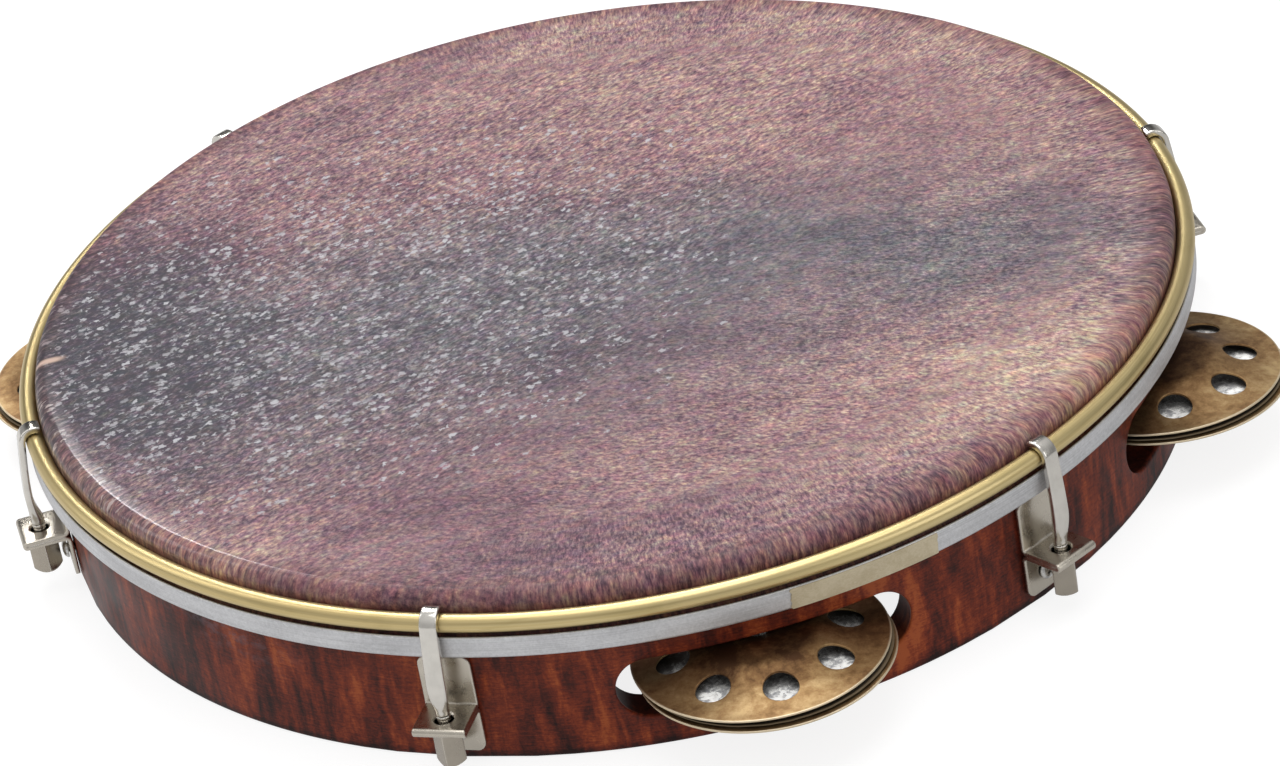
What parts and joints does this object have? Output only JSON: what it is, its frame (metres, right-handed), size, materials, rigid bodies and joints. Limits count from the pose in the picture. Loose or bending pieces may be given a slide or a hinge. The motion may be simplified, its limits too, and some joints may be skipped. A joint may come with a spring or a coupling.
{
  "type": "tambourine",
  "caption": "Tunable pandeiro-type frame drum: wooden shell with slots for jingle sets, film head, brass counterhoop, hooks with brackets and nuts, and one bay left free as a grip.",
  "frame": {"origin": "centre of the shell's bottom rim, on the drum's axis", "axes": "+Z along the drum's axis from the open rim to the head; the bay with no jingles is centred 219.27 degrees round from +X towards +Y, and the player looks from -Y"},
  "size_m": [0.2877, 0.3006, 0.0414],
  "materials": {
    "shell_wood": "gloss",
    "head_film": "satin",
    "hoop_aluminium": "satin",
    "resin": "gloss",
    "splice_tape": "satin",
    "hoop_brass": "polished",
    "nickel_plate": "polished",
    "fastener_steel": "satin",
    "jingle_bronze": "aged",
    "damper_steel": "hammered"
  },
  "bodies": {
    "shell": {"shell": "shell_wood", "bracket_0": "nickel_plate", "bracket_1": "nickel_plate", "bracket_2": "nickel_plate", "bracket_3": "nickel_plate", "bracket_4": "nickel_plate", "bracket_5": "nickel_plate", "bracket_screw_0": "fastener_steel", "bracket_screw_1": "fastener_steel", "bracket_screw_2": "fastener_steel", "bracket_screw_3": "fastener_steel", "bracket_screw_4": "fastener_steel", "bracket_screw_5": "fastener_steel", "screw_nut_0": "fastener_steel", "screw_nut_1": "fastener_steel", "screw_nut_2": "fastener_steel", "screw_nut_3": "fastener_steel", "screw_nut_4": "fastener_steel", "screw_nut_5": "fastener_steel", "jingle_pin_0": "fastener_steel", "jingle_pin_1": "fastener_steel", "jingle_pin_2": "fastener_steel", "jingle_pin_4": "fastener_steel", "jingle_pin_5": "fastener_steel"},
    "head_and_hoops": {"head_membrane": "head_film", "flesh_hoop": "hoop_aluminium", "flesh_hoop_resin": "resin", "flesh_hoop_tape": "splice_tape", "counterhoop": "hoop_brass", "tension_hook_0": "nickel_plate", "tension_hook_1": "nickel_plate", "tension_hook_2": "nickel_plate", "tension_hook_3": "nickel_plate", "tension_hook_4": "nickel_plate", "tension_hook_5": "nickel_plate"},
    "tension_nut_0": {"tension_nut_0": "nickel_plate"},
    "tension_nut_1": {"tension_nut_1": "nickel_plate"},
    "tension_nut_2": {"tension_nut_2": "nickel_plate"},
    "tension_nut_3": {"tension_nut_3": "nickel_plate"},
    "tension_nut_4": {"tension_nut_4": "nickel_plate"},
    "tension_nut_5": {"tension_nut_5": "nickel_plate"},
    "bottom_jingle_0": {"bottom_jingle_0": "jingle_bronze"},
    "damper_plate_0": {"damper_plate_0": "damper_steel"},
    "top_jingle_0": {"top_jingle_0": "jingle_bronze"},
    "bottom_jingle_1": {"bottom_jingle_1": "jingle_bronze"},
    "damper_plate_1": {"damper_plate_1": "damper_steel"},
    "top_jingle_1": {"top_jingle_1": "jingle_bronze"},
    "bottom_jingle_2": {"bottom_jingle_2": "jingle_bronze"},
    "damper_plate_2": {"damper_plate_2": "damper_steel"},
    "top_jingle_2": {"top_jingle_2": "jingle_bronze"},
    "bottom_jingle_4": {"bottom_jingle_4": "jingle_bronze"},
    "damper_plate_4": {"damper_plate_4": "damper_steel"},
    "top_jingle_4": {"top_jingle_4": "jingle_bronze"},
    "bottom_jingle_5": {"bottom_jingle_5": "jingle_bronze"},
    "damper_plate_5": {"damper_plate_5": "damper_steel"},
    "top_jingle_5": {"top_jingle_5": "jingle_bronze"}
  },
  "joints": [
    {"name": "head_tuning", "type": "slide", "parent": "shell", "child": "head_and_hoops", "axis": [0, 0, 1], "range_m": [0, 0.002]},
    {"name": "nut_turn_0", "type": "hinge", "parent": "shell", "child": "tension_nut_0", "pos_m": [0.13176, 0.0215, 0.0082], "axis": [0, 0, 1], "range_deg": [-1441, 1]},
    {"name": "nut_turn_1", "type": "hinge", "parent": "shell", "child": "tension_nut_1", "pos_m": [0.04725, 0.12486, 0.0082], "axis": [0, 0, 1], "range_deg": [-1441, 1]},
    {"name": "nut_turn_2", "type": "hinge", "parent": "shell", "child": "tension_nut_2", "pos_m": [-0.0845, 0.10335, 0.0082], "axis": [0, 0, 1], "range_deg": [-1441, 1]},
    {"name": "nut_turn_3", "type": "hinge", "parent": "shell", "child": "tension_nut_3", "pos_m": [-0.13176, -0.0215, 0.0082], "axis": [0, 0, 1], "range_deg": [-1441, 1]},
    {"name": "nut_turn_4", "type": "hinge", "parent": "shell", "child": "tension_nut_4", "pos_m": [-0.04725, -0.12486, 0.0082], "axis": [0, 0, 1], "range_deg": [-1441, 1]},
    {"name": "nut_turn_5", "type": "hinge", "parent": "shell", "child": "tension_nut_5", "pos_m": [0.0845, -0.10335, 0.0082], "axis": [0, 0, 1], "range_deg": [-1441, 1]},
    {"name": "jingle_drop_0", "type": "slide", "parent": "shell", "child": "bottom_jingle_0", "axis": [0, 0, 1], "range_m": [-0.0031, 0]},
    {"name": "jingle_spin_0", "type": "hinge", "parent": "bottom_jingle_0", "child": "damper_plate_0", "pos_m": [0.09615, 0.07862, 0.0154], "axis": [0, 0, 1], "continuous": true},
    {"name": "jingle_clap_0", "type": "slide", "parent": "damper_plate_0", "child": "top_jingle_0", "axis": [0, 0, 1], "range_m": [-0.0007, 0.0004]},
    {"name": "jingle_drop_1", "type": "slide", "parent": "shell", "child": "bottom_jingle_1", "axis": [0, 0, 1], "range_m": [-0.0031, 0]},
    {"name": "jingle_spin_1", "type": "hinge", "parent": "bottom_jingle_1", "child": "damper_plate_1", "pos_m": [-0.02001, 0.12258, 0.0154], "axis": [0, 0, 1], "continuous": true},
    {"name": "jingle_clap_1", "type": "slide", "parent": "damper_plate_1", "child": "top_jingle_1", "axis": [0, 0, 1], "range_m": [-0.0007, 0.0004]},
    {"name": "jingle_drop_2", "type": "slide", "parent": "shell", "child": "bottom_jingle_2", "axis": [0, 0, 1], "range_m": [-0.0002, 0.0029]},
    {"name": "jingle_spin_2", "type": "hinge", "parent": "bottom_jingle_2", "child": "damper_plate_2", "pos_m": [-0.11616, 0.04396, 0.0125], "axis": [0, 0, 1], "continuous": true},
    {"name": "jingle_clap_2", "type": "slide", "parent": "damper_plate_2", "child": "top_jingle_2", "axis": [0, 0, 1], "range_m": [-0.0007, 0.0004]},
    {"name": "jingle_drop_4", "type": "slide", "parent": "shell", "child": "bottom_jingle_4", "axis": [0, 0, 1], "range_m": [-0.0031, 0]},
    {"name": "jingle_spin_4", "type": "hinge", "parent": "bottom_jingle_4", "child": "damper_plate_4", "pos_m": [0.02001, -0.12258, 0.0154], "axis": [0, 0, 1], "continuous": true},
    {"name": "jingle_clap_4", "type": "slide", "parent": "damper_plate_4", "child": "top_jingle_4", "axis": [0, 0, 1], "range_m": [-0.0007, 0.0004]},
    {"name": "jingle_drop_5", "type": "slide", "parent": "shell", "child": "bottom_jingle_5", "axis": [0, 0, 1], "range_m": [-0.0016, 0.0007]},
    {"name": "jingle_spin_5", "type": "hinge", "parent": "bottom_jingle_5", "child": "damper_plate_5", "pos_m": [0.11616, -0.04396, 0.0143], "axis": [0.0142, 0.0375, 0.9992], "continuous": true},
    {"name": "jingle_clap_5", "type": "slide", "parent": "damper_plate_5", "child": "top_jingle_5", "axis": [0.0142, 0.0375, 0.9992], "range_m": [-0.0007, 0.0004]}
  ],
  "couplings": [
    {"joint": "nut_turn_0", "follows": "head_tuning", "rad_per_m": -12566},
    {"joint": "nut_turn_1", "follows": "head_tuning", "rad_per_m": -12566},
    {"joint": "nut_turn_2", "follows": "head_tuning", "rad_per_m": -12566},
    {"joint": "nut_turn_3", "follows": "head_tuning", "rad_per_m": -12566},
    {"joint": "nut_turn_4", "follows": "head_tuning", "rad_per_m": -12566},
    {"joint": "nut_turn_5", "follows": "head_tuning", "rad_per_m": -12566}
  ]
}
